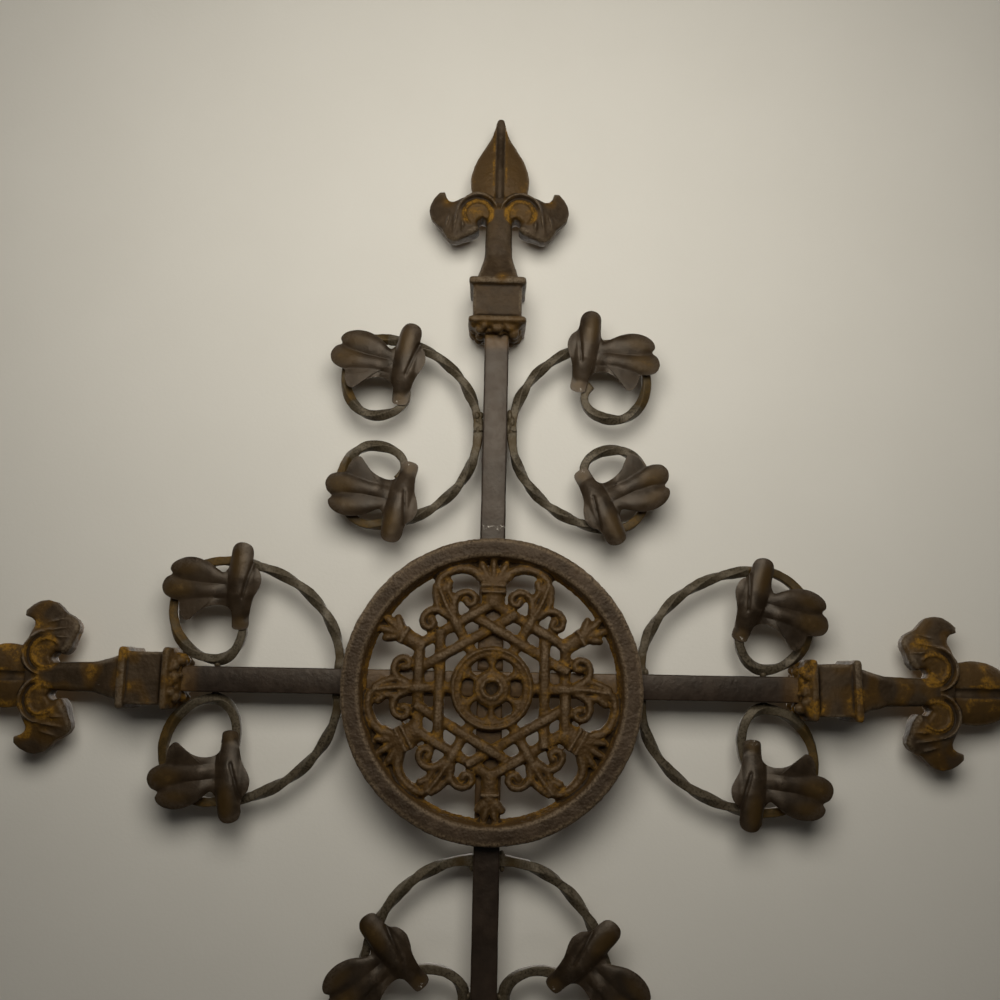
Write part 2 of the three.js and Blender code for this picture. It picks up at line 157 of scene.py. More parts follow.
SIDE_LEAF = [
    # across, height
    (2, 66), (4.4, 71.4), (8, 74.6), (12, 75.8), (16.4, 75.4), (20.6, 73.8), (24.8, 71.8), (27.4, 72.2),
    (29.2, 74.6), (30.2, 77.6), (32.6, 77.6), (35.2, 74.6), (37.1, 70.9), (37.7, 67.1), (36.6, 63.0),
    (33.9, 60.0), (31.0, 57.6), (29.6, 54.6), (27.6, 51.6), (25.0, 50.0), (22.6, 50.2), (19.4, 51.6),
    (14.4, 53.2), (12.2, 54.6), (11.0, 56.2), (11.8, 58.2), (12.2, 60.4), (9.2, 62.8), (7.2, 61.6), (2, 60),
]
SIDE_LEAF_DEPTH = 7.2
SIDE_LEAF_BEVEL = 2.4
SIDE_LEAF_INSET = 2.0
SIDE_LEAF_FOOT = 44.0
TIP_THIN = 0.62
TIP_FROM = 10.0
TIP_TO = 26.0
BLADE_CLEAR = Values(half=17.0, foot=75.0)
CURL_CENTRE = (11.6, 64.0)
CURL_FOOT = 57.0
CURL_FADE = 4.0
CURL_RADIUS = 8.6
CURL_SPAN = (208, -52)
CURL_DEPTH = 14.4
CURL_RAISED = 5.0
CURL_RIM = 1.7
CUP_DEPTH = 12.4
BROW_RADIUS = 10.9
BROW_SPAN = (165, 10)
BROW = (2.0, 8.5)
FLUTES = [
    # start, end across and up the side leaf
    ((22.2, 68.0), (24.8, 52.6)), ((19.6, 60.6), (19.6, 53.8)), ((26.6, 65.0), (29.0, 56.0)),
]
FLUTE = (1.5, 7.4)

# Medallion: ring, rosette and straps, radii from its centre; sector paths run along a spoke
MEDALLION_CENTRE = (1.0, -2.0)
MEDALLION_BACK = -BAR - WELD_GAP
RING_PROFILE = [
    (62.3, 0.0), (62.0, 0.8), (64.9, 6.9), (65.7, 7.9), (67.4, 8.1), (70.2, 8.2), (72.8, 8.1),
    (74.0, 7.5), (74.5, 6.4), (74.5, 1.0), (73.9, 0.0),
]
RING_STEPS = 220
BOSS_PROFILE = [
    (0.05, 0.0), (0.05, 3.6), (1.6, 3.6), (2.8, 3.8), (3.6, 5.2), (4.6, 5.9), (5.6, 5.4), (6.1, 4.2),
    (6.6, 4.2), (7.2, 5.0), (8.0, 4.6), (8.8, 3.2), (9.4, 2.8), (9.4, 0.0),
]
RIM_PROFILE = [
    (15.0, 0.0), (15.0, 2.9), (15.8, 4.2), (16.7, 4.8), (17.6, 4.3), (18.2, 4.5), (19.1, 5.4), (20.0, 4.8),
    (20.8, 2.6), (20.8, 0.0),
]
PETALS = 6
ROSETTE_ARM = ((8.0, 0.0), (16.0, 0.0))
WINDOW_RADIUS = 4.4
WINDOW_AT = 12.0
ROSETTE_ARM_DEPTH = 4.2
STRAP = 5.5
STRAP_DEPTH = 5.2
STRAP_ROUND = 15
STRAP_SHOULDER = 0.20
STRAP_GROOVE = 0.45
STRAP_GROOVE_WIDTH = 0.28
WEAVE = 1.25
INNER_SIDE = 26.0
OUTER_SIDE = 36.3
OVERRUN = 1.5
FOLDS = 6
SPOKE = [(18.0, -0.4), (26.0, -1.2), (36.3, 1.1), (43.5, 0.0)]
VOLUTE = [
    (41.5, 0.8), (44.6, 2.8), (47.6, 5.8), (48.4, 9.8), (46.6, 13.4), (43.2, 14.4), (41.0, 12.4),
    (41.6, 9.9), (43.8, 9.8),
]
CURL_STRAP = 4.2
CURL_KNOB = 2.2
BUNDLE = [(41.0, 0.0), (46.5, 0.0), (52.5, -0.6), (58.5, -1.6)]
BUNDLE_FAN = (0.5, 1.15, 1.0, 0.35)
BUNDLE_RIBS = (-3.4, 0.0, 3.4)
BUNDLE_RIB = 4.0
ARCH = [
    (45.0, -25.0), (52.8, -21.8), (58.0, -17.6), (60.4, -12.2), (60.6, -6.8), (59.0, -2.4), (55.4, -1.8),
    (53.8, -4.6), (56.0, -6.6),
]
ARCH_STRAP = 5.2
# Fleurs stand on axes given in degrees; each lobe is its lean and its reach
BAND = 2.6
GREAT_AXES = (90, 210, 330)
GREAT_FLEUR = {
    "stem": (41.0, 52.0), "stem_width": 11.4, "bands": (47.6, 50.8), "band_reach": 6.4,
    "lobes": [(-56, 10.0), (-29, 12.4), (0, 13.6), (29, 12.4), (56, 10.0)], "lobe_width": 4.4,
}
SMALL_AXES = (30, 150, 270)
SMALL_FLEUR = {
    "stem": (39.0, 53.0), "stem_width": 8.4, "bands": (50.6,), "band_reach": 4.6,
    "lobes": [(-40, 9.0), (-14, 11.6), (14, 11.6), (40, 9.0)], "lobe_width": 4.6,
}
CAST_VOXEL = 0.73
FINIAL_VOXEL = 0.58

# Uneven skins, as (grain size, height)
BAR_SKIN = [(30.0, 0.15), (7.0, 0.08)]
WIRE_SKIN = [(9.0, 0.30), (2.6, 0.16)]
LEAF_SKIN = [(16.0, 0.45), (5.0, 0.10)]
FINIAL_SKIN = [(11.0, 0.28), (3.2, 0.12), (1.5, 0.05)]
MEDALLION_SKIN = [(9.0, 0.25), (2.8, 0.20), (1.6, 0.17)]

# Rust and chalk that each place asks for; a stain is (amount, place, reach), both as (across or out, up)
BAR_RUST = Values(collar=0.75, behind=0.55, edge=4.0, reach=7.0)
WIRE_RUST = Values(open=0.10, behind=0.62, foot=0.55, tip=0.5, weld=0.30)
WIRE_FOOT = Values(place=6.0, reach=5.0)
WIRE_TIP = 9.0
LEAF_COVER = Values(start=-8, end=0.7 * EYE_POINTS)
LEAF_STAINS = [
    (0.62, (32.0, 18.0), (8.0, 4.5)), (0.40, (28.0, 28.0), (9.0, 4.0)),
    (0.52, (2.0, 32.0), (4.0, 9.0)), (0.45, (0.0, 1.0), (4.0, 4.0)),
]
TORN_TAB = (1.0, (1.0, -0.5), (4.0, 4.0))
CRESCENT = Values(rust=1.15, inset=1.2, reach=1.6)
CUP_RUST = 0.50
HOOK_STAIN = (0.62, (27.5, 71.8), (3.6, 3.6))
FOOT_STAIN = (0.70, (2.0, 24.8), (3.5, 3.5))
WING_STAIN = (0.40, (-6.0, 86.0), (5.5, 16.5))
MOUTH_STAIN = Values(rust=0.42, top=1.0, reach=3.0)
SEAM_STAIN = Values(rust=0.62, out=3.4, reach=1.3, rise=(76.0, 82.0))
BLADE_RUST = Values(blade=0.32, rest=0.096, foot=66.0, leaf_top=78.0, shaft=8.0)
NECK_CHALK = (1.0, (-3.6, 36.0), (1.0, 5.0))
PATCH = 9.0
MEDALLION_RUST = Values(crest=0.36, sunk=0.56, ring=(66.5, 64.5), top=0.9, back=-0.5)


# Shader expressions
def sums(operation, swapped=False):
    """Operator of a tap that adds a Math node."""
    def operator(tap, other):
        first, second = (other, tap) if swapped else (tap, other)
        return tap.finish.node("ShaderNodeMath", {"operation": operation}, {0: first, 1: second})
    return operator


class Tap:
    """One output of a finish's nodes; arithmetic on it adds Math nodes."""

    def __init__(self, finish, socket):
        self.finish = finish
        self.socket = socket

    __add__ = sums("ADD")
    __radd__ = sums("ADD", swapped=True)
    __sub__ = sums("SUBTRACT")
    __rsub__ = sums("SUBTRACT", swapped=True)
    __mul__ = sums("MULTIPLY")


class Finish:
    """A material and the means to add nodes to it."""

    def __init__(self, name):
        self.material = bpy.data.materials.new(name)
        self.material.use_nodes = True
        self.tree = self.material.node_tree
        self.shader = self.tree.nodes["Principled BSDF"]
        self.place = self.node("ShaderNodeTexCoord", {}, {}, "Object")

    def node(self, kind, settings, sockets, output=0):
        made = self.tree.nodes.new(kind)
        for name, value in settings.items():
            setattr(made, name, value)
        for name, value in sockets.items():
            self.feed(made.inputs[name], value)
        return Tap(self, made.outputs[output])

    def feed(self, socket, value):
        if isinstance(value, Tap):
            self.tree.links.new(value.socket, socket)
        else:
            socket.default_value = value

    def paint(self, **sockets):
        for name, value in sockets.items():
            self.feed(self.shader.inputs[name.replace("_", " ")], value)

    def grain(self, size, detail=4.0, rough=0.55):
        """Noise with features of that size in millimetres, about 0.5 on average."""
        sockets = {"Vector": self.place, "Scale": 1 / (size * METRE), "Detail": detail, "Roughness": rough}
        return self.node("ShaderNodeTexNoise", {}, sockets, "Fac")

    def pebbles(self, size):
        sockets = {"Vector": self.place, "Scale": 1 / (size * METRE)}
        return self.node("ShaderNodeTexVoronoi", {"feature": "SMOOTH_F1"}, sockets, "Distance")

    def measure(self, name):
        return self.node("ShaderNodeAttribute", {"attribute_name": name}, {}, "Fac")

    def ease(self, value, low, high):
        """0 below low, 1 above high, and smooth between them."""
        sockets = {0: value, 1: low, 2: high, 3: 0.0, 4: 1.0}
        return self.node("ShaderNodeMapRange", {"interpolation_type": "SMOOTHSTEP"}, sockets)

    def blend(self, share, first, second):
        """Colour between the first, where the share is 0, and the second, where it is 1."""
        colours = [c if isinstance(c, Tap) else (*c, 1.0) for c in (first, second)]
        settings = {"data_type": "RGBA", "clamp_factor": True}
        return self.node("ShaderNodeMix", settings, {0: share, 6: colours[0], 7: colours[1]}, 2)

    def bump(self, height, distance, strength):
        sockets = {"Height": height, "Distance": distance * METRE, "Strength": strength}
        return self.node("ShaderNodeBump", {}, sockets, "Normal")


CHALK = (0.50, 0.46, 0.40)
# Near-black brown of the painted shade in the deepest hollows
PAINTED_SHADE = (0.012, 0.0072, 0.0040)
SHEEN = (1.0, 0.92, 0.80, 1.0)


def iron(name, dark, light, rust_dark, rust_light, wear_and_highlight, rust_spread, hollow_shade, gloss, shine, pits, pit_depth):
    """Brown iron: mottled oxide, rust in hollows and where the mesh asks for it, painted shade in the
    deepest hollows, crests lightened as wear and painted highlight, and chalk.
    """
    coat = Finish(name)
    broad = coat.grain(26)
    mottle = coat.grain(5.5, 6.0, 0.62)
    grit = coat.grain(1.1, 3.0)
    relief = coat.measure("relief")
    asked = coat.measure("rust")
    oxide = coat.blend(coat.ease(broad * 0.6 + mottle * 0.4, 0.36, 0.64), dark, light)
    hollow = coat.ease(relief, 0.05, 0.9)
    blotch = coat.ease(mottle * 0.7 + broad * 0.3, 0.62 - rust_spread * 0.3, 0.80 - rust_spread * 0.2)
    wanted = coat.ease(asked + (mottle - 0.5) * 0.8, 0.28, 1.0)
    rusty = coat.ease(hollow * rust_spread + blotch * rust_spread * 0.6 + wanted, 0.12, 0.95)
    rust = coat.blend(coat.ease(grit * 0.5 + mottle * 0.5, 0.38, 0.62), rust_dark, rust_light)
    stained = coat.blend(coat.ease(asked, 0.05, 0.42) * 0.85, oxide, rust_dark)
    colour = coat.blend(rusty, stained, rust)
    # Painted shade: the deepest hollows are darkened towards a near-black brown, standing in for occlusion
    colour = coat.blend(coat.ease(relief, 0.28, 0.95) * hollow_shade, colour, PAINTED_SHADE)
    # Wear and painted highlight: crests away from rust are lightened towards the worn colour
    crest = coat.ease(0.0 - relief, 0.28, 0.90) * coat.ease(grit, 0.30, 0.60)
    colour = coat.blend(crest * (1 - coat.ease(asked, 0.25, 0.65)) * 0.7, colour, wear_and_highlight)
    chalky = coat.ease(coat.measure("chalk") * (grit * 0.6 + mottle * 0.4), 0.50, 0.60)
    colour = coat.blend(chalky, colour, CHALK)
    height = grit * 0.45 + mottle * 0.4 + (1 - coat.pebbles(pits)) * 0.5
    coat.paint(
        Base_Color=colour,
        Metallic=0.15,
        Roughness=gloss + (mottle - 0.5) * 0.35 + rusty * 0.22,
        Specular_IOR_Level=shine,
        Specular_Tint=SHEEN,
        Normal=coat.bump(height, pit_depth, 0.6),
    )
    return coat.material


BAR_FINISH = iron(
    "bar_iron",
    dark=(0.016, 0.0098, 0.0064), light=(0.030, 0.0190, 0.0124), wear_and_highlight=(0.058, 0.045, 0.035),
    rust_dark=(0.055, 0.029, 0.010), rust_light=(0.105, 0.056, 0.014), rust_spread=0.10,
    hollow_shade=0.3, gloss=0.42, shine=0.32, pits=2.4, pit_depth=0.35,
)
WIRE_FINISH = iron(
    "wire_iron",
    dark=(0.016, 0.0116, 0.0062), light=(0.038, 0.0282, 0.0152), wear_and_highlight=(0.092, 0.073, 0.048),
    rust_dark=(0.044, 0.027, 0.0080), rust_light=(0.105, 0.058, 0.013), rust_spread=0.16,
    hollow_shade=0.4, gloss=0.46, shine=0.22, pits=2.2, pit_depth=0.4,
)
CAST_FINISH = iron(
    "cast_iron",
    dark=(0.031, 0.0192, 0.0108), light=(0.059, 0.0384, 0.0230), wear_and_highlight=(0.150, 0.106, 0.064),
    rust_dark=(0.062, 0.0325, 0.0095), rust_light=(0.195, 0.098, 0.014), rust_spread=0.42,
    hollow_shade=0.9, gloss=0.52, shine=0.17, pits=1.3, pit_depth=0.9,
)
FINIAL_FINISH = iron(
    "finial_iron",
    dark=(0.026, 0.0162, 0.0086), light=(0.056, 0.0366, 0.0206), wear_and_highlight=(0.120, 0.088, 0.055),
    rust_dark=(0.062, 0.0325, 0.0085), rust_light=(0.205, 0.102, 0.012), rust_spread=0.36,
    hollow_shade=0.9, gloss=0.52, shine=0.15, pits=1.7, pit_depth=0.55,
)
SHEET_FINISH = iron(
    "sheet_iron",
    dark=(0.017, 0.0106, 0.0058), light=(0.038, 0.0244, 0.0136), wear_and_highlight=(0.060, 0.043, 0.029),
    rust_dark=(0.048, 0.027, 0.0080), rust_light=(0.100, 0.056, 0.0140), rust_spread=0.16,
    hollow_shade=0.5, gloss=0.42, shine=0.25, pits=2.8, pit_depth=0.3,
)


# Mesh helpers
CORNERS = ((1, 1), (-1, 1), (-1, -1), (1, -1))


def spread(points, count, closed=False):
    """Points along a smooth curve through the given ones."""
    points = np.asarray(points, float)
    total = len(points)
    spans = total if closed else total - 1
    places = np.linspace(0, spans, count, endpoint=not closed)
    first = np.minimum(places.astype(int), spans - 1)
    share = (places - first)[:, None]

    def pick(shift):
        index = first + shift
        return points[index % total] if closed else points[np.clip(index, 0, total - 1)]

    before, start, end, after = [pick(shift) for shift in (-1, 0, 1, 2)]
    bend = 2 * before - 5 * start + 4 * end - after
    twist = 3 * start - before - 3 * end + after
    return start + 0.5 * ((end - before) * share + bend * share**2 + twist * share**3)


def follow(values, line):
    """Values of a line given as (place, value) points."""
    places, heights = np.asarray(line, float).T
    return np.interp(values, places, heights)


def ramp(values, start, end):
    """0 before the start, 1 past the end and straight between them."""
    return np.clip((values - start) / (end - start), 0, 1)


def eased(share):
    return share * share * (3 - 2 * share)


def falloff(distance, reach):
    return np.exp(-((distance / reach) ** 2))


def oval(across, up, amount, place, reach):
    """An amount that fades in an oval about its place."""
    return amount * falloff(across - place[0], reach[0]) * falloff(up - place[1], reach[1])


def swung(first, second, angle):
    """A pair of coordinates turned by an angle in radians."""
    return first * np.cos(angle) - second * np.sin(angle), first * np.sin(angle) + second * np.cos(angle)


def beside_path(path, across):
    """Both coordinates of points set off to the left of a flat path, a row for each of its points."""
    path = np.asarray(path, float)
    along = np.gradient(path, axis=0)
    along /= np.linalg.norm(along, axis=1, keepdims=True)
    return path[:, :1] - along[:, 1:] * across, path[:, 1:] + along[:, :1] * across


def arc(centre, radii, start, end, count):
    angle = np.radians(np.linspace(start, end, count))
    return np.stack([centre[0] + radii[0] * np.cos(angle), centre[1] + radii[1] * np.sin(angle)], axis=1)


def loft(rings, closed=False):
    """Shell over rings of equal length: its points and faces, with capped ends unless it closes."""
    rings = np.asarray(rings, float)
    count, size = rings.shape[:2]
    row, spot = np.meshgrid(np.arange(count if closed else count - 1), np.arange(size), indexing="ij")
    below = row * size
    above = (row + 1) % count * size
    beside = (spot + 1) % size
    quads = np.stack([below + spot, below + beside, above + beside, above + spot], axis=-1)
    faces = [tuple(quad) for quad in quads.reshape(-1, 4).tolist()]
    if not closed:
        faces += [tuple(range(size)), tuple(range((count - 1) * size, count * size))]
    return rings.reshape(-1, 3), faces


def lathe(profile, steps, centre=(0.0, 0.0)):
    """Closed profile of radius and depth turned about an axis along Y."""
    profile = np.asarray(profile, float)
    angle = np.linspace(0, 2 * np.pi, steps, endpoint=False)[:, None]
    x = centre[0] + profile[:, 0] * np.cos(angle)
    z = centre[1] + profile[:, 0] * np.sin(angle)
    return loft(np.stack([x, np.broadcast_to(-profile[:, 1], x.shape), z], axis=-1), closed=True)


def rounded(half_x, half_y, corner, steps=4):
    """Points round a rectangle with rounded corners."""
    points = []
    for turn, (sign_x, sign_y) in enumerate(CORNERS):
        middle = (sign_x * (half_x - corner), sign_y * (half_y - corner))
        points += arc(middle, (corner, corner), 90 * turn, 90 * turn + 90, steps).tolist()
    return np.asarray(points)


def strap(path, width, depth, groove=0.0):
    """Cast strap along a flat path: a flat back at y = 0 and a rounded front, grooved if asked.

    Its width and depth are each one number, or one for each point of the path.
    """
    side = np.broadcast_to(width, len(path))[:, None] / 2
    rise = np.broadcast_to(depth, len(path))[:, None]
    turn = np.linspace(0, np.pi, STRAP_ROUND)
    across = np.concatenate([[-1.0, 1.0], np.cos(turn)])
    crown = STRAP_SHOULDER + (1 - STRAP_SHOULDER) * np.sin(turn) ** 0.8
    front = np.concatenate([[0.0, 0.0], crown])[None, :] * rise
    front[:, 2:] -= groove * np.exp(-((np.cos(turn) / STRAP_GROOVE_WIDTH) ** 2))
    x, z = beside_path(path, across * side)
    return loft(np.stack([x, -front, z], axis=-1))


def tube(path, half_width, half_depth, points=16, squareness=1.0):
    """Tube along a flat path, centred on y = 0: elliptical, or with a flatter front for less than 1."""
    turn = np.linspace(0, 2 * np.pi, points, endpoint=False)
    across = np.cos(turn) * np.reshape(half_width, (-1, 1))
    deep = np.sign(np.sin(turn)) * np.abs(np.sin(turn)) ** squareness * np.reshape(half_depth, (-1, 1))
    x, z = beside_path(path, across)
    return loft(np.stack([x, np.broadcast_to(deep, x.shape), z], axis=-1))


def knob(x, z, radius, depth):
    """Rounded stud standing on y = 0."""
    profile = [(0.05, 0.0), (0.05, depth)]
    profile += [(radius * math.sin(a), depth * (0.4 + 0.6 * math.cos(a))) for a in (0.5, 1.0, 1.4)]
    profile.append((radius, 0.0))
    return lathe(profile, 18, (x, z))


def bead(place, radius, tall=1.0):
    """Drop of weld, round or drawn out along Z."""
    rings = []
    for angle in np.linspace(0.06, np.pi - 0.06, 9):
        flat = arc((0, 0), (radius * math.sin(angle),) * 2, 0, 330, 12)
        rings.append(np.column_stack([flat, np.full(len(flat), tall * radius * math.cos(angle))]) + place)
    return loft(rings)


def turned(shell, degrees):
    """Shell turned about Y, anticlockwise as the front is seen."""
    points, faces = shell
    x, z = swung(points[:, 0], points[:, 2], math.radians(degrees))
    return np.stack([x, points[:, 1], z], axis=1), faces


def mesh_of(name, shells):
    """Mesh of all the shells, still in millimetres, with their faces pointing out."""
    points = []
    faces = []
    base = 0
    for shell_points, shell_faces in shells:
        points.append(shell_points)
        faces += [tuple(corner + base for corner in face) for face in shell_faces]
        base += len(shell_points)
    mesh = bpy.data.meshes.new(name)
    mesh.from_pydata(np.concatenate(points).tolist(), [], faces)
    work = bmesh.new()
    work.from_mesh(mesh)
    bmesh.ops.recalc_face_normals(work, faces=work.faces)
    work.to_mesh(mesh)
    work.free()
    return mesh


def cast_skin(name, shells, voxel, passes):
    """One skin over shells that run into each other, as poured in one mould, softened a little."""
    rough = bpy.data.objects.new(name, mesh_of(name, shells))
    bpy.context.scene.collection.objects.link(rough)
    skin = rough.modifiers.new("skin", "REMESH")
    skin.mode = "VOXEL"
    skin.voxel_size = voxel
    soften = rough.modifiers.new("soften", "SMOOTH")
    soften.factor = 0.5
    soften.iterations = passes
    graph = bpy.context.evaluated_depsgraph_get()
    mesh = bpy.data.meshes.new_from_object(rough.evaluated_get(graph))
    bpy.data.objects.remove(rough)
    return mesh


def read(collection, field, width):
    values = np.zeros(len(collection) * width, np.float32)
    collection.foreach_get(field, values)
    return values.reshape(-1, width).astype(float)


def points_of(mesh):
    return read(mesh.vertices, "co", 3)


def move_points(mesh, points):
    mesh.vertices.foreach_set("co", np.asarray(points, np.float32).ravel())
    mesh.update()


def roughen(mesh, layers, seed):
    """Moves each point along its normal by noise, a layer for each (grain size, height)."""
    points = points_of(mesh)
    normals = read(mesh.vertex_normals, "vector", 3)
    shift = np.zeros(len(points))
    for grain, height in layers:
        shift += height * np.array([noise.noise(p) for p in (points / grain + seed).tolist()])
    move_points(mesh, points + normals * shift[:, None])


def note(mesh, name, values):
    """Keeps one number for each point, for the finish to read."""
    attribute = mesh.attributes.get(name) or mesh.attributes.new(name, "FLOAT", "POINT")
    attribute.data.foreach_set("value", np.asarray(values, np.float32))


def relief_of(mesh, passes, depth):
    """Hollows as positive and crests as negative, against a smoothed copy of the mesh."""
    points = points_of(mesh)
    normals = read(mesh.vertex_normals, "vector", 3)
    edges = np.zeros(len(mesh.edges) * 2, np.int32)
    mesh.edges.foreach_get("vertices", edges)
    first, second = edges.reshape(-1, 2).T
    count = len(points)
    degree = np.bincount(first, minlength=count) + np.bincount(second, minlength=count)
    smooth = points.copy()
    for _ in range(passes):
        total = np.empty_like(smooth)
        for axis in range(3):
            total[:, axis] = np.bincount(first, smooth[second, axis], count)
            total[:, axis] += np.bincount(second, smooth[first, axis], count)
        smooth = total / np.maximum(degree, 1)[:, None]
    return np.clip(((smooth - points) * normals).sum(axis=1) / depth, -1, 1)


def piece(name, mesh, finish, slot, *nodes):
    """Finished piece in the frame, standing for those solids."""
    move_points(mesh, points_of(mesh) * METRE)
    mesh.polygons.foreach_set("use_smooth", [True] * len(mesh.polygons))
    mesh.materials.clear()
    mesh.materials.append(finish)
    made = bpy.data.objects.new(name, mesh)
    bpy.context.scene.collection.objects.link(made)
    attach(made, "root")
    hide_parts(*nodes)


# Bars: rolled square lengths with rounded corners, a little uneven, rusty where they enter the collars
def square_bar(node, across, low, high):
    count = int((high - low) / BAR_STEP) + 1
    along = np.linspace(low, high, count)[:, None]
    section = rounded(BAR / 2, BAR / 2, BAR_CORNER)
    flat = np.broadcast_to(section[:, 0], (count, len(section)))
    deep = np.broadcast_to(section[:, 1] + BAR_AXIS, flat.shape)
    run = np.broadcast_to(along, flat.shape)
    rings = [run, deep, flat] if across else [flat, deep, run]
    mesh = mesh_of(f"{node}_rolled", [loft(np.stack(rings, axis=-1))])
    roughen(mesh, BAR_SKIN, seed=3.0)
    points = points_of(mesh)
    run = points[:, 0] if across else points[:, 2]
    entry = np.abs(np.abs(run) - max(abs(low), abs(high)))
    from_collar = np.maximum(entry - SOCKET_DEPTH - BAR_RUST.edge, 0)
    collar = BAR_RUST.collar * falloff(from_collar, BAR_RUST.reach)
    note(mesh, "rust", np.maximum(collar, np.where(np.abs(run) < BEHIND_RING, BAR_RUST.behind, 0.0)))
    if not across:
        note(mesh, "chalk", falloff(run - BAR_FOOT, BAR_FOOT_CHALK))
    piece(mesh.name, mesh, BAR_FINISH, "bar_iron", node)


BAR_END = SOCKET_DEPTH - WELD_GAP
BUTT = BAR / 2 + WELD_GAP
square_bar("cross_bar", True, -SIDE_ARM - BAR_END, SIDE_ARM + BAR_END)
square_bar("upper_bar", False, BUTT, TOP_ARM + BAR_END)
square_bar("lower_bar", False, -LOWER_ARM - BAR_END, -BUTT)


# Scrolls and leaves: each half runs out and up from the point where it leaves its bar
class Half:
    """Half scroll and its leaf: its start, its ways out and up, and its leaf's lean and slip."""

    def __init__(self, name, size, start, out, up, lean, slip):
        self.name = name
        self.size = size
        self.eye_foot = size.rise - 2 * size.eye[1]
        self.start = np.asarray(start, float)
        self.out = np.asarray(out, float)
        self.up = np.asarray(up, float)
        self.hand = out[0] * up[1] - out[1] * up[0]
        self.lean = math.radians(lean)
        self.slip = slip

    def place(self, out, up, y):
        flat = self.start + np.multiply.outer(out, self.out) + np.multiply.outer(up, self.up)
        return np.stack([flat[..., 0], np.broadcast_to(y, flat.shape[:-1]), flat[..., 1]], axis=-1)


BESIDE = BAR / 2 + WIRE / 2 + WELD_GAP
ON_BAR = BAR / 2 + WELD_GAP
LEFT, RIGHT, UPWARD, DOWNWARD = (-1, 0), (1, 0), (0, 1), (0, -1)
ABOVE = TOP_SCROLL_HEIGHT + WELD_GAP / 2
BELOW = TOP_SCROLL_HEIGHT - WELD_GAP / 2
HALVES = [
    Half("top_left_upper", TOP_SCROLL, (-BESIDE, ABOVE), LEFT, UPWARD, 9, (3.4, -4)),
    Half("top_left_lower", TOP_SCROLL, (-BESIDE, BELOW), LEFT, DOWNWARD, -12, (-3.3, 0)),
    Half("top_right_upper", TOP_SCROLL, (BESIDE, ABOVE), RIGHT, UPWARD, -9, (-3.5, 5)),
    Half("top_right_lower", TOP_SCROLL, (BESIDE, BELOW), RIGHT, DOWNWARD, -27, (-1.5, 2.6)),
    Half("left_upper", ARM_SCROLL, (-SIDE_SCROLL_START, ON_BAR), LEFT, UPWARD, 1, (1, 0)),
    Half("left_lower", ARM_SCROLL, (-SIDE_SCROLL_START, -ON_BAR), LEFT, DOWNWARD, 5, (2.4, 0)),
    Half("right_upper", ARM_SCROLL, (SIDE_SCROLL_START, ON_BAR), RIGHT, UPWARD, -18, (0, -1)),
    Half("right_lower", ARM_SCROLL, (SIDE_SCROLL_START, -ON_BAR), RIGHT, DOWNWARD, 5, (5, 0)),
    Half("bottom_left", ARM_SCROLL, (-ON_BAR, -LOWER_SCROLL_START), DOWNWARD, LEFT, 48, (6, 3)),
    Half("bottom_right", ARM_SCROLL, (ON_BAR, -LOWER_SCROLL_START), DOWNWARD, RIGHT, 45, (6, 6)),
]


def wire_rings(half):
    """Rings of the twisted square wire along one half, lumpy at its weld, and how rusty each is."""
    size = half.size
    sweep = arc((size.reach, 0), (size.reach, size.rise), 180, 90, SWEEP_POINTS)
    turn = arc((size.reach, size.rise - size.eye[1]), size.eye, 90, -90, EYE_POINTS)
    end = arc((size.reach, half.eye_foot + size.tail[1]), size.tail, 270, TAIL_END, TAIL_POINTS)
    path = np.concatenate([sweep, turn[1:], end[1:]])
    run = np.concatenate([[0], np.cumsum(np.linalg.norm(np.diff(path, axis=0), axis=1))])
    past_sweep = np.arange(len(path)) - SWEEP_POINTS
    in_sweep = ramp((past_sweep + SWEEP_POINTS) / (SWEEP_POINTS - 1), TWIST_LEAD, 1)
    in_eye = ramp(past_sweep / EYE_POINTS, EYE_LEAD, EYE_LEAD + 1)
    twist = half.hand * (TWIST_TURNS * in_sweep + EYE_TURNS * eased(in_eye)) * 2 * np.pi
    section = rounded(WIRE / 2, WIRE / 2, WIRE_CORNER)
    across, deep = swung(section[:, 0], section[:, 1], twist[:, None])
    weld = falloff(run, WELD_REACH)
    thick = (1 + WELD_SWELL * weld + TWIST_LUMP * np.sin(2 * twist) ** 2)[:, None]
    out, up = beside_path(path, across * thick)
    if size is ARM_SCROLL:
        up[0] -= WELD_ROOT
    behind = (past_sweep > LEAF_COVER.start) & (past_sweep < LEAF_COVER.end)
    rust = np.maximum.reduce([
        np.where(behind, WIRE_RUST.behind, WIRE_RUST.open),
        WIRE_RUST.foot * falloff(run - WIRE_FOOT.place, WIRE_FOOT.reach),
        WIRE_RUST.tip * falloff(run[-1] - run, WIRE_TIP),
    ])
    return half.place(out, up, BAR_AXIS + deep * thick), rust


def weld_beads(half):
    """Drops of weld at the wire's foot: along the bar above a butt, one at the cut end below it, or round
    a foot that stands on its bar, where one more holds the eye."""
    drops = random.Random(half.name)
    front = BAR_AXIS - WIRE / 2
    shells = []
    weld = BUTT_WELD if half.size is TOP_SCROLL else FOOT_WELD
    cut_end = half.size is TOP_SCROLL and half.up[1] < 0
    for _ in range(1 if cut_end else weld.beads):
        out = drops.uniform(*weld.out)
        up = 0.0 if cut_end else drops.uniform(*weld.up)
        place = half.place(out, up, front + drops.uniform(*WELD_OUT))
        radius = drops.uniform(*WELD_BEAD)
        shells.append(bead(place, radius, 1.0 if cut_end else drops.uniform(*WELD_DRAWN)))
    if half.size is ARM_SCROLL:
        touch = half.eye_foot - WIRE / 2
        shells.append(bead(half.place(half.size.reach, touch, BAR_AXIS), EYE_BEAD))
    return shells


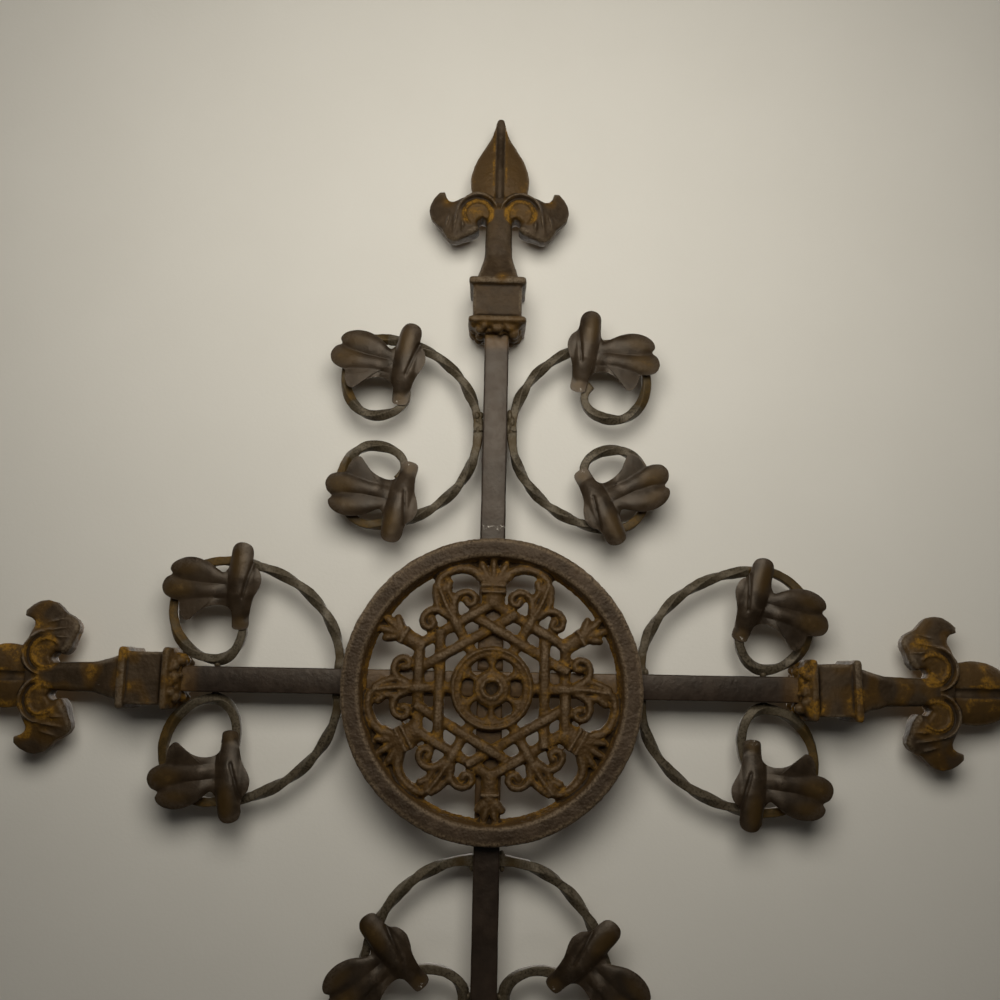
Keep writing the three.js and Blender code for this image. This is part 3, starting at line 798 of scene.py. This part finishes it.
def wire_piece(half):
    rings, rust = wire_rings(half)
    mesh = mesh_of(f"scroll_{half.name}_twisted", [loft(rings), *weld_beads(half)])
    roughen(mesh, WIRE_SKIN, seed=len(half.name))
    note(mesh, "relief", relief_of(mesh, passes=6, depth=0.3))
    wire = np.repeat(rust, rings.shape[1])
    note(mesh, "rust", np.concatenate([wire, np.full(len(mesh.vertices) - len(wire), WIRE_RUST.weld)]))
    piece(mesh.name, mesh, WIRE_FINISH, "bar_iron", f"scroll_{half.name}")


def leaf_height(out, up):
    """How far the leaf stands forward: a half tube up the single lobe, an arch along each broad one."""
    tube_fall = TUBE_FALL * np.minimum(((out - SPINE_OUT) / TUBE_HALF) ** 2, TUBE_LIMIT)
    bulge = oval(out, up, *BULGE)
    foot = np.asarray(CREASE.foot)
    way = np.asarray(CREASE.top) - foot
    along = np.clip(((out - foot[0]) * way[0] + (up - foot[1]) * way[1]) / (way**2).sum(), 0, 1)
    from_crease = np.hypot(out - foot[0] - along * way[0], up - foot[1] - along * way[1])
    single = follow(up, SPINE) - tube_fall + bulge - CREASE.deep * falloff(from_crease, CREASE.wide)

    lines = [follow(out, line) for line in LOBE_LINES]
    arches = np.zeros_like(out)
    for rise, high, low in zip(LOBE_ARCHES, lines, lines[1:]):
        across = np.clip((up - low) / np.maximum(high - low, 0.5), 0, 1)
        arches += rise * (1 - np.abs(2 * across - 1) ** LOBE_SHARP)
    broad = CROWN.rise - CROWN.fall * ((out - CROWN.out) / CROWN.half) ** 2 + arches
    broad -= BACK_TURN.fall * ramp(up - lines[0], -BACK_TURN.reach, 0) ** 2

    share = eased(ramp(out, *WEB))
    return single * (1 - share) + broad * share


def leaf_rust(out, up):
    """Ochre on the ends of the lobes and on the tab."""
    return np.maximum.reduce([oval(out, up, *stain) for stain in LEAF_STAINS])


def leaf_faces():
    """Faces of a leaf: for each skin a fan about its hub and rings of quads, and the rim between them."""
    rings = LEAF_RINGS - 1
    size = LEAF_RIM_POINTS
    offset = rings * size
    edge = offset - size
    faces = []
    for spot in range(size):
        beside = (spot + 1) % size
        for skin in (0, 1):
            base = skin * offset
            faces.append((2 * offset + skin, base + spot, base + beside))
            for low in range(base, base + edge, size):
                faces.append((low + spot, low + size + spot, low + size + beside, low + beside))
        faces.append((edge + spot, offset + edge + spot, offset + edge + beside, edge + beside))
    return faces


def leaf_piece(half):
    """Thin pressed leaf: a skin in front and one behind, joined at the rim."""
    rim = spread(LEAF_RIM, LEAF_RIM_POINTS, closed=True)
    share = np.linspace(0, 1, LEAF_RINGS)[1:, None]
    out = LEAF_HUB[0] + (rim[:, 0] - LEAF_HUB[0]) * share
    up = LEAF_HUB[1] + (rim[:, 1] - LEAF_HUB[1]) * share
    height = np.maximum(leaf_height(out, up), 0.0)
    tab_out = half.size.reach - half.size.tail[0] + half.slip[0]
    tab_up = half.eye_foot + half.size.tail[1] + half.slip[1]
    back = BAR_AXIS - WIRE / 2 - WELD_GAP

    def skin_points(leaf_out, leaf_up, rise):
        leaning_out, leaning_up = swung(leaf_out, leaf_up, half.lean)
        return half.place(tab_out + leaning_out, tab_up + leaning_up, back - rise).reshape(-1, 3)

    hub_out = np.asarray(LEAF_HUB[:1])
    hub_up = np.asarray(LEAF_HUB[1:])
    hub_height = leaf_height(hub_out, hub_up)
    thin = LEAF_SHEET * (1 - RIM_THIN * share**4)
    skins = [skin_points(out, up, height + extra) for extra in (thin, 0.0)]
    hubs = [skin_points(hub_out, hub_up, hub_height + extra) for extra in (LEAF_SHEET, 0.0)]
    mesh = mesh_of(f"leaf_{half.name}_pressed", [(np.concatenate(skins + hubs), leaf_faces())])
    roughen(mesh, LEAF_SKIN, seed=7.3 * len(half.name))
    note(mesh, "relief", relief_of(mesh, passes=14, depth=0.35))
    front = leaf_rust(out, up).ravel()
    note(mesh, "rust", np.concatenate([front, front * 0.5 + 0.25, [0.0, 0.2]]))
    torn = oval(out, up, *TORN_TAB).ravel()
    note(mesh, "chalk", np.concatenate([torn, torn, [0.0, 0.0]]))
    mesh.set_sharp_from_angle(angle=math.radians(LEAF_SHARP))
    piece(mesh.name, mesh, SHEET_FINISH, "sheet_iron", f"leaf_{half.name}")


for half in HALVES:
    wire_piece(half)
    leaf_piece(half)


# Finials: collar, neck, blade, side leaves and their curls in one casting, with weld round the mouth
def shaft_shell():
    stations = np.asarray(SHAFT)
    rings = []
    for height, side, corner in spread(stations, 5 * len(stations)):
        section = rounded(side, side, min(corner, side * 0.9), 5)
        rings.append(np.column_stack([section, np.full(len(section), height)]))
    return loft(rings)


def blade_shell():
    rings = []
    widest = max(side for _, side in BLADE)
    across = np.linspace(1, -1, 41)
    for height, side in spread(BLADE, 80):
        x = across * side
        swell = BLADE_SWELL * side / widest * (1 - np.abs(across) ** 2.6)
        groove = BLADE_GROOVE * np.exp(-((x / BLADE_GROOVE_HALF) ** 4)) * min(1.0, side / 5)
        edge = min(BLADE_EDGE, side)
        front = np.column_stack([x, -(edge + swell - groove), np.full(len(x), height)])
        back = np.column_stack([x, edge + swell, np.full(len(x), height)])[::-1]
        rings.append(np.concatenate([front, back]))
    return loft(rings)


def side_leaf_shell(side):
    """Side leaf with rounded edges, from its outline."""
    curve = bpy.data.curves.new("side_leaf", "CURVE")
    curve.dimensions = "2D"
    curve.fill_mode = "BOTH"
    curve.extrude = SIDE_LEAF_DEPTH / 2
    curve.bevel_depth = SIDE_LEAF_BEVEL
    curve.bevel_resolution = 4
    curve.offset = -SIDE_LEAF_INSET
    outline = curve.splines.new("POLY")
    outline.points.add(len(SIDE_LEAF) - 1)
    for point, (x, z) in zip(outline.points, SIDE_LEAF):
        point.co = (side * x, z, 0, 1)
    outline.use_cyclic_u = True
    holder = bpy.data.objects.new("side_leaf", curve)
    mesh = bpy.data.meshes.new_from_object(holder)
    flat = points_of(mesh)
    faces = [tuple(polygon.vertices) for polygon in mesh.polygons]
    bpy.data.objects.remove(holder)
    bpy.data.meshes.remove(mesh)
    return flat[:, [0, 2, 1]], faces


def mirrored(span, side):
    return span if side > 0 else (180 - span[0], 180 - span[1])


def swelling(lead, count):
    """Swell along a ridge, from its lead at one end through 1 in the middle."""
    return np.sin(np.pi * np.linspace(lead, 1 - lead, count))


def curl_shells(side):
    """Curl of a side leaf: a cup, its rim and the brow over it."""
    centre = (side * CURL_CENTRE[0], CURL_CENTRE[1])
    swell = swelling(0.12, 36)

    def round_curl(radius, span):
        return arc(centre, (radius, radius), *mirrored(span, side), len(swell))

    cup = CURL_RADIUS / 2
    rim = CURL_RADIUS - CURL_RIM
    return [
        tube(round_curl(cup, CURL_SPAN), cup, CUP_DEPTH / 2, squareness=0.35),
        tube(round_curl(rim, CURL_SPAN), CURL_RIM * swell, CURL_DEPTH / 2, squareness=0.6),
        tube(round_curl(BROW_RADIUS, BROW_SPAN), BROW[0] * swell, BROW[1] * (0.85 + 0.15 * swell)),
    ]


def flute_shell(low, high, side):
    ends = np.asarray([low, high]) * (side, 1)
    swell = swelling(0.08, 16)
    path = np.linspace(ends[0], ends[1], len(swell))
    return tube(path, FLUTE[0] * swell + 0.2, FLUTE[1] * (0.82 + 0.18 * swell), 12)


def finial_shells():
    shells = [shaft_shell(), blade_shell()]
    for side in (1, -1):
        shells += [side_leaf_shell(side), *curl_shells(side)]
        shells += [flute_shell(low, high, side) for low, high in FLUTES]
    drops = random.Random(4)
    for spot in range(MOUTH_BEADS):
        angle = 2 * math.pi * (spot + drops.uniform(-0.4, 0.4)) / MOUTH_BEADS
        share = drops.random()
        out = np.interp(share, (0, 1), MOUTH_RING)
        reach = out / max(abs(math.cos(angle)), abs(math.sin(angle)))
        height = np.interp(share, (0, 1), MOUTH_DEPTH)
        place = (reach * math.cos(angle), reach * math.sin(angle), height)
        shells.append(bead(place, drops.uniform(*MOUTH_BEAD), drops.uniform(*MOUTH_BEAD_DRAWN)))
    return shells


def curl_distance(points):
    """How far each point is from the axis of the curl on its side."""
    return np.hypot(np.abs(points[:, 0]) - CURL_CENTRE[0], points[:, 2] - CURL_CENTRE[1])


def finial_rust(points):
    """Ochre on the curls, in the hooks, at the neck's foot, round the collar's mouth and on the blade."""
    across = points[:, 0]
    up = points[:, 2]
    out = np.abs(across)
    from_curl = curl_distance(points)
    on_curl = ramp(up, CURL_FOOT, CURL_FOOT + CURL_FADE)
    from_rim = from_curl - CURL_RADIUS + CRESCENT.inset
    on_seam = SEAM_STAIN.rust * ramp(up, *SEAM_STAIN.rise)
    on_blade = (up > BLADE_RUST.foot) & ((up > BLADE_RUST.leaf_top) | (out < BLADE_RUST.shaft))
    return np.maximum.reduce([
        CRESCENT.rust * falloff(from_rim, CRESCENT.reach) * on_curl,
        CUP_RUST * (from_curl < CURL_RADIUS) * on_curl,
        oval(out, up, *HOOK_STAIN),
        oval(across, up, *FOOT_STAIN),
        oval(across, up, *WING_STAIN),
        MOUTH_STAIN.rust * falloff(np.maximum(up - MOUTH_STAIN.top, 0), MOUTH_STAIN.reach),
        on_seam * falloff(out - SEAM_STAIN.out, SEAM_STAIN.reach),
        np.where(on_blade, BLADE_RUST.blade, BLADE_RUST.rest),
    ])


def in_groove(points):
    """Whether each point lies in the groove down the front of the blade."""
    return (np.abs(points[:, 0]) < BLADE_GROOVE_HALF + 0.3) & (points[:, 2] > 70) & (points[:, 1] < 0)


def on_curls(points):
    """Whether each point lies on the face of a curl."""
    raised = np.abs(points[:, 1]) > CURL_RAISED
    return (curl_distance(points) < CURL_RADIUS - 0.4) & (points[:, 2] > CURL_FOOT) & raised


def thin_tips(mesh):
    """Lets the faces of the side leaves fall away from their curls to their tips."""
    points = points_of(mesh)
    out = np.abs(points[:, 0])
    share = ramp(curl_distance(points), TIP_FROM, TIP_TO)
    blade = (points[:, 2] > BLADE_CLEAR.foot) & (out < BLADE_CLEAR.half)
    leaf = (points[:, 2] > SIDE_LEAF_FOOT) & (out > CURL_CENTRE[0]) & ~blade
    points[:, 1] *= 1 - TIP_THIN * np.where(leaf, share, 0)
    move_points(mesh, points)


FINIALS = [
    # end, turn, place across and up, how patchy its rust is
    ("top", 0, 0.0, TOP_ARM, 0.15), ("right", 90, SIDE_ARM, 0.0, 0.8),
    ("bottom", 180, 0.0, -LOWER_ARM, 0.6), ("left", 270, -SIDE_ARM, 0.0, 0.8),
]
finial_skin = cast_skin("finial", finial_shells(), FINIAL_VOXEL, passes=2)
thin_tips(finial_skin)
finial_points = points_of(finial_skin)
# Painted shade down the blade's groove: it is left out of the stains and given a flat relief, so it stays
# darker oxide than the rusted blade
groove_painted_dark = in_groove(finial_points)
finial_relief = np.where(on_curls(finial_points), 0.0, relief_of(finial_skin, passes=24, depth=0.55))
note(finial_skin, "relief", np.where(groove_painted_dark, -0.1, finial_relief))
note(finial_skin, "chalk", oval(finial_points[:, 0], finial_points[:, 2], *NECK_CHALK))
stains = np.where(groove_painted_dark, 0.0, finial_rust(finial_points))
for seed, (end, turn, x, z, patchy) in enumerate(FINIALS):
    mesh = finial_skin.copy()
    mesh.name = f"finial_{end}_cast"
    patches = np.array([noise.noise(p) for p in (finial_points / PATCH + 7.0 * seed).tolist()])
    note(mesh, "rust", stains + patchy * np.clip(patches + 0.1, 0, 1))
    placed, _ = turned((points_of(mesh), None), -turn)
    move_points(mesh, placed + (x, BAR_AXIS, z))
    roughen(mesh, FINIAL_SKIN, seed=11.0 * seed)
    piece(mesh.name, mesh, FINIAL_FINISH, "cast_iron", f"finial_{end}")
bpy.data.meshes.remove(finial_skin)


# Medallion: ring, rosette, woven straps, spokes with curls, leaf bundles, arches and fleurs
def straight(start, end, count=20):
    return np.linspace(start, end, count)


def taper(path, full, tip):
    return np.linspace(full, tip, len(path))


def lobe(root, lean, reach, width, axis):
    """Rounded lobe of a fleur, fanned out from its root on the axis."""
    way = np.array([math.cos(math.radians(lean)), math.sin(math.radians(lean))])
    path = np.array([root, 0.0]) + way * np.linspace(0, reach, 18)[:, None]
    share = np.linspace(0, 1, len(path))
    swell = width * (0.62 + 0.38 * np.sin(np.pi * share * 0.8))
    rise = STRAP_DEPTH + 0.9 - 0.9 * share
    tip = knob(*path[-1], width * 0.42, STRAP_DEPTH - 0.2)
    return [turned(strap(path, swell, rise), axis), turned(tip, axis)]


def woven(side, half_length, crossings):
    """Strap along one side of a hexagon, lifted over or sunk under at its crossings, as (place, lift)."""
    along = np.linspace(-half_length, half_length, 60)
    path = np.column_stack([np.full(len(along), side), along])
    return strap(path, STRAP, STRAP_DEPTH + follow(along, crossings), STRAP_GROOVE)


def sector_shells(fold):
    """One sixth of the pattern, its spoke along the fold's angle."""
    angle = 360 * fold / FOLDS
    to_small = -1 if fold % 2 else 1
    corner = math.tan(math.radians(30))
    half_inner = INNER_SIDE * corner
    half_outer = OUTER_SIDE * corner
    reach = half_inner + (OUTER_SIDE - INNER_SIDE) / math.cos(math.radians(30)) + OVERRUN
    crossed = (INNER_SIDE - OUTER_SIDE / 2) / math.sin(math.radians(60))
    inner_lifts = [(-reach, WEAVE), (-half_inner, -WEAVE), (0, 0.2), (half_inner, WEAVE), (reach, -WEAVE)]
    outer_lifts = [(-half_outer, 0), (-crossed, WEAVE), (0, 0), (crossed, -WEAVE), (half_outer, 0)]
    spoke = spread(SPOKE, 30)
    spoke_path = np.column_stack([spoke[:, 0], np.zeros(len(spoke))])
    shells = [
        woven(INNER_SIDE, reach, inner_lifts),
        woven(OUTER_SIDE, half_outer, outer_lifts),
        strap(spoke_path, STRAP, STRAP_DEPTH + spoke[:, 1], STRAP_GROOVE),
    ]
    for side in (1, -1):
        path = spread(np.asarray(VOLUTE) * (1, side), 48)
        shells.append(strap(path, taper(path, CURL_STRAP + 0.4, CURL_STRAP - 0.8), STRAP_DEPTH + 0.3))
        shells.append(knob(*path[-1], CURL_KNOB, STRAP_DEPTH + 0.2))
    for offset in BUNDLE_RIBS:
        fan = np.column_stack([np.zeros(len(BUNDLE)), offset * np.asarray(BUNDLE_FAN)])
        path = spread((np.asarray(BUNDLE) + fan) * (1, to_small), 30)
        shells.append(strap(path, BUNDLE_RIB, STRAP_DEPTH + 0.8 - 0.2 * abs(offset)))
    path = spread(np.asarray(ARCH) * (1, to_small), 60)
    shells.append(strap(path, taper(path, ARCH_STRAP, ARCH_STRAP - 1.2), STRAP_DEPTH + 0.2))
    shells.append(knob(*path[-1], CURL_KNOB, STRAP_DEPTH + 0.2))
    return [turned(shell, angle) for shell in shells]


def fleur(axis, stem, stem_width, bands, band_reach, lobes, lobe_width):
    """Stem with bands across it, opening in a fan of lobes, as (lean, reach)."""
    path = straight((stem[0], 0), (stem[1], 0))
    shells = [turned(strap(path, stem_width, STRAP_DEPTH + 0.2), axis)]
    for along in bands:
        band = straight((along, -band_reach), (along, band_reach))
        shells.append(turned(strap(band, BAND, STRAP_DEPTH + 1.1), axis))
    for lean, length in lobes:
        shells += lobe(stem[1] - 2, lean, length, lobe_width, axis)
    return shells


def rosette_arm(angle):
    """Arm of the rosette, waisted between two of its round windows."""
    path = straight(*ROSETTE_ARM)
    half_step = math.pi / PETALS
    along = path[:, 0] - WINDOW_AT * math.cos(half_step)
    window = np.sqrt(np.maximum(WINDOW_RADIUS**2 - along**2, 0))
    width = 2 * np.minimum(WINDOW_AT * math.sin(half_step) - window, path[:, 0] * math.tan(half_step))
    return turned(strap(path, width, ROSETTE_ARM_DEPTH), angle)


def medallion_shells():
    shells = [lathe(RING_PROFILE, RING_STEPS), lathe(BOSS_PROFILE, 72), lathe(RIM_PROFILE, 140)]
    for petal in range(PETALS):
        shells.append(rosette_arm(360 * petal / PETALS + 30))
    for fold in range(FOLDS):
        shells += sector_shells(fold)
    for axis in GREAT_AXES:
        shells += fleur(axis, **GREAT_FLEUR)
    for axis in SMALL_AXES:
        shells += fleur(axis, **SMALL_FLEUR)
    return shells


def medallion_rust(points):
    """Ochre within the ring, most of it low between the straps, and less of it on the back."""
    within = ramp(np.hypot(points[:, 0], points[:, 2]), *MEDALLION_RUST.ring)
    sunk = ramp(points[:, 1] + MEDALLION_RUST.top, -STRAP_DEPTH, 0)
    sunk[points[:, 1] > MEDALLION_RUST.back] = 0.0
    return within * (MEDALLION_RUST.crest + MEDALLION_RUST.sunk * sunk)


medallion = cast_skin("medallion_cast", medallion_shells(), CAST_VOXEL, passes=1)
note(medallion, "relief", relief_of(medallion, passes=26, depth=0.7))
note(medallion, "rust", medallion_rust(points_of(medallion)))
roughen(medallion, MEDALLION_SKIN, seed=5.0)
move_points(medallion, points_of(medallion) + (MEDALLION_CENTRE[0], MEDALLION_BACK, MEDALLION_CENTRE[1]))
piece("medallion_cast", medallion, CAST_FINISH, "cast_iron", "medallion")


# Wall, light and camera
WALL_REACH = 1.0
WALL_FACE = 0.0090
WALL_TONES = ((0.60, 0.570, 0.510), (0.64, 0.610, 0.550))
BACKDROP = (0.55, 0.53, 0.50, 1.0)
LAMPS = [
    # name, place, aim, size, watts, colour, beam in degrees
    ("key", (0.0, -0.46, 0.27), (0.0, 0.0, 0.24), (0.40, 0.32), 2.65, (1.0, 0.975, 0.91), 180),
    ("fill", (0.0, -1.4, -0.1), (0.0, 0.0, 0.0), (1.6, 1.2), 0.4, (1.0, 0.98, 0.96), 180),
    ("low", (0.0, -0.9, -0.9), (0.0, 0.0, -0.72), (0.9, 0.4), 0.55, (1.0, 0.98, 0.94), 60),
    ("left", (-1.3, 0.16, 1.0), (0.0, 0.0, 0.0), (0.6, 0.9), 8.0, (1.0, 0.98, 0.95), 180),
    ("right", (1.3, 0.16, 1.0), (0.0, 0.0, 0.0), (0.6, 0.9), 8.0, (1.0, 0.98, 0.95), 180),
    ("behind", (0.0, 1.6, 0.3), (0.0, 0.0, -0.05), (0.9, 0.9), 17.0, (1.0, 0.97, 0.93), 180),
]
CAMERA_PLACE = (3.32, -517.63, 3.84)
CAMERA_PITCH = 10.02
CAMERA_ROLL = 1.08
CAMERA_SENSOR = 36.0
CAMERA_LENS = 36.0


def wall():
    """Pale wall just behind the collars; from behind it isn't seen."""
    mesh = bpy.data.meshes.new("wall")
    corners = [(WALL_REACH * x, WALL_FACE, WALL_REACH * z) for x, z in CORNERS]
    mesh.from_pydata(corners, [], [(2, 3, 0, 1)])
    coat = Finish("wall_paint")
    tone = coat.blend(coat.grain(60), *WALL_TONES)
    coat.paint(Base_Color=tone, Roughness=0.75, Normal=coat.bump(coat.grain(1.6), 0.25, 0.25))
    behind = coat.node("ShaderNodeNewGeometry", {}, {}, "Backfacing")
    clear = coat.node("ShaderNodeBsdfTransparent", {}, {})
    solid = Tap(coat, coat.shader.outputs[0])
    mixed = coat.node("ShaderNodeMixShader", {}, {0: behind, 1: solid, 2: clear})
    coat.feed(coat.tree.nodes["Material Output"].inputs["Surface"], mixed)
    mesh.materials.append(coat.material)
    made = bpy.data.objects.new("wall", mesh)
    bpy.context.scene.collection.objects.link(made)
    made.visible_shadow = False


def lamp(name, place, aim, size, watts, colour, beam):
    light = bpy.data.lights.new(name, "AREA")
    light.spread = math.radians(beam)
    light.shape = "RECTANGLE"
    light.size, light.size_y = size
    light.energy = watts
    light.color = colour
    made = bpy.data.objects.new(name, light)
    made.location = place
    made.rotation_euler = (Vector(aim) - Vector(place)).to_track_quat("-Z", "Y").to_euler()
    bpy.context.scene.collection.objects.link(made)


def camera():
    """Camera at the photograph's viewpoint: close, a little right of the bar, tilted up and rolled."""
    made = bpy.data.objects.new("camera", bpy.data.cameras.new("camera"))
    made.data.sensor_width = CAMERA_SENSOR
    made.data.lens = CAMERA_LENS
    made.data.clip_start = 0.01
    pitch = Matrix.Rotation(math.radians(90 + CAMERA_PITCH), 4, "X")
    roll = Matrix.Rotation(math.radians(CAMERA_ROLL), 4, "Z")
    made.matrix_world = Matrix.Translation(Vector(CAMERA_PLACE) * METRE) @ pitch @ roll
    bpy.context.scene.collection.objects.link(made)
    bpy.context.scene.camera = made


wall()
for lamp_row in LAMPS:
    lamp(*lamp_row)
world = bpy.data.worlds.new("room")
bpy.context.scene.world = world
world.use_nodes = True
world.node_tree.nodes["Background"].inputs["Color"].default_value = BACKDROP
world.cycles_visibility.diffuse = False
world.cycles_visibility.glossy = False
bpy.context.scene.view_settings.view_transform = "Standard"
camera()

bpy.context.view_layer.update()
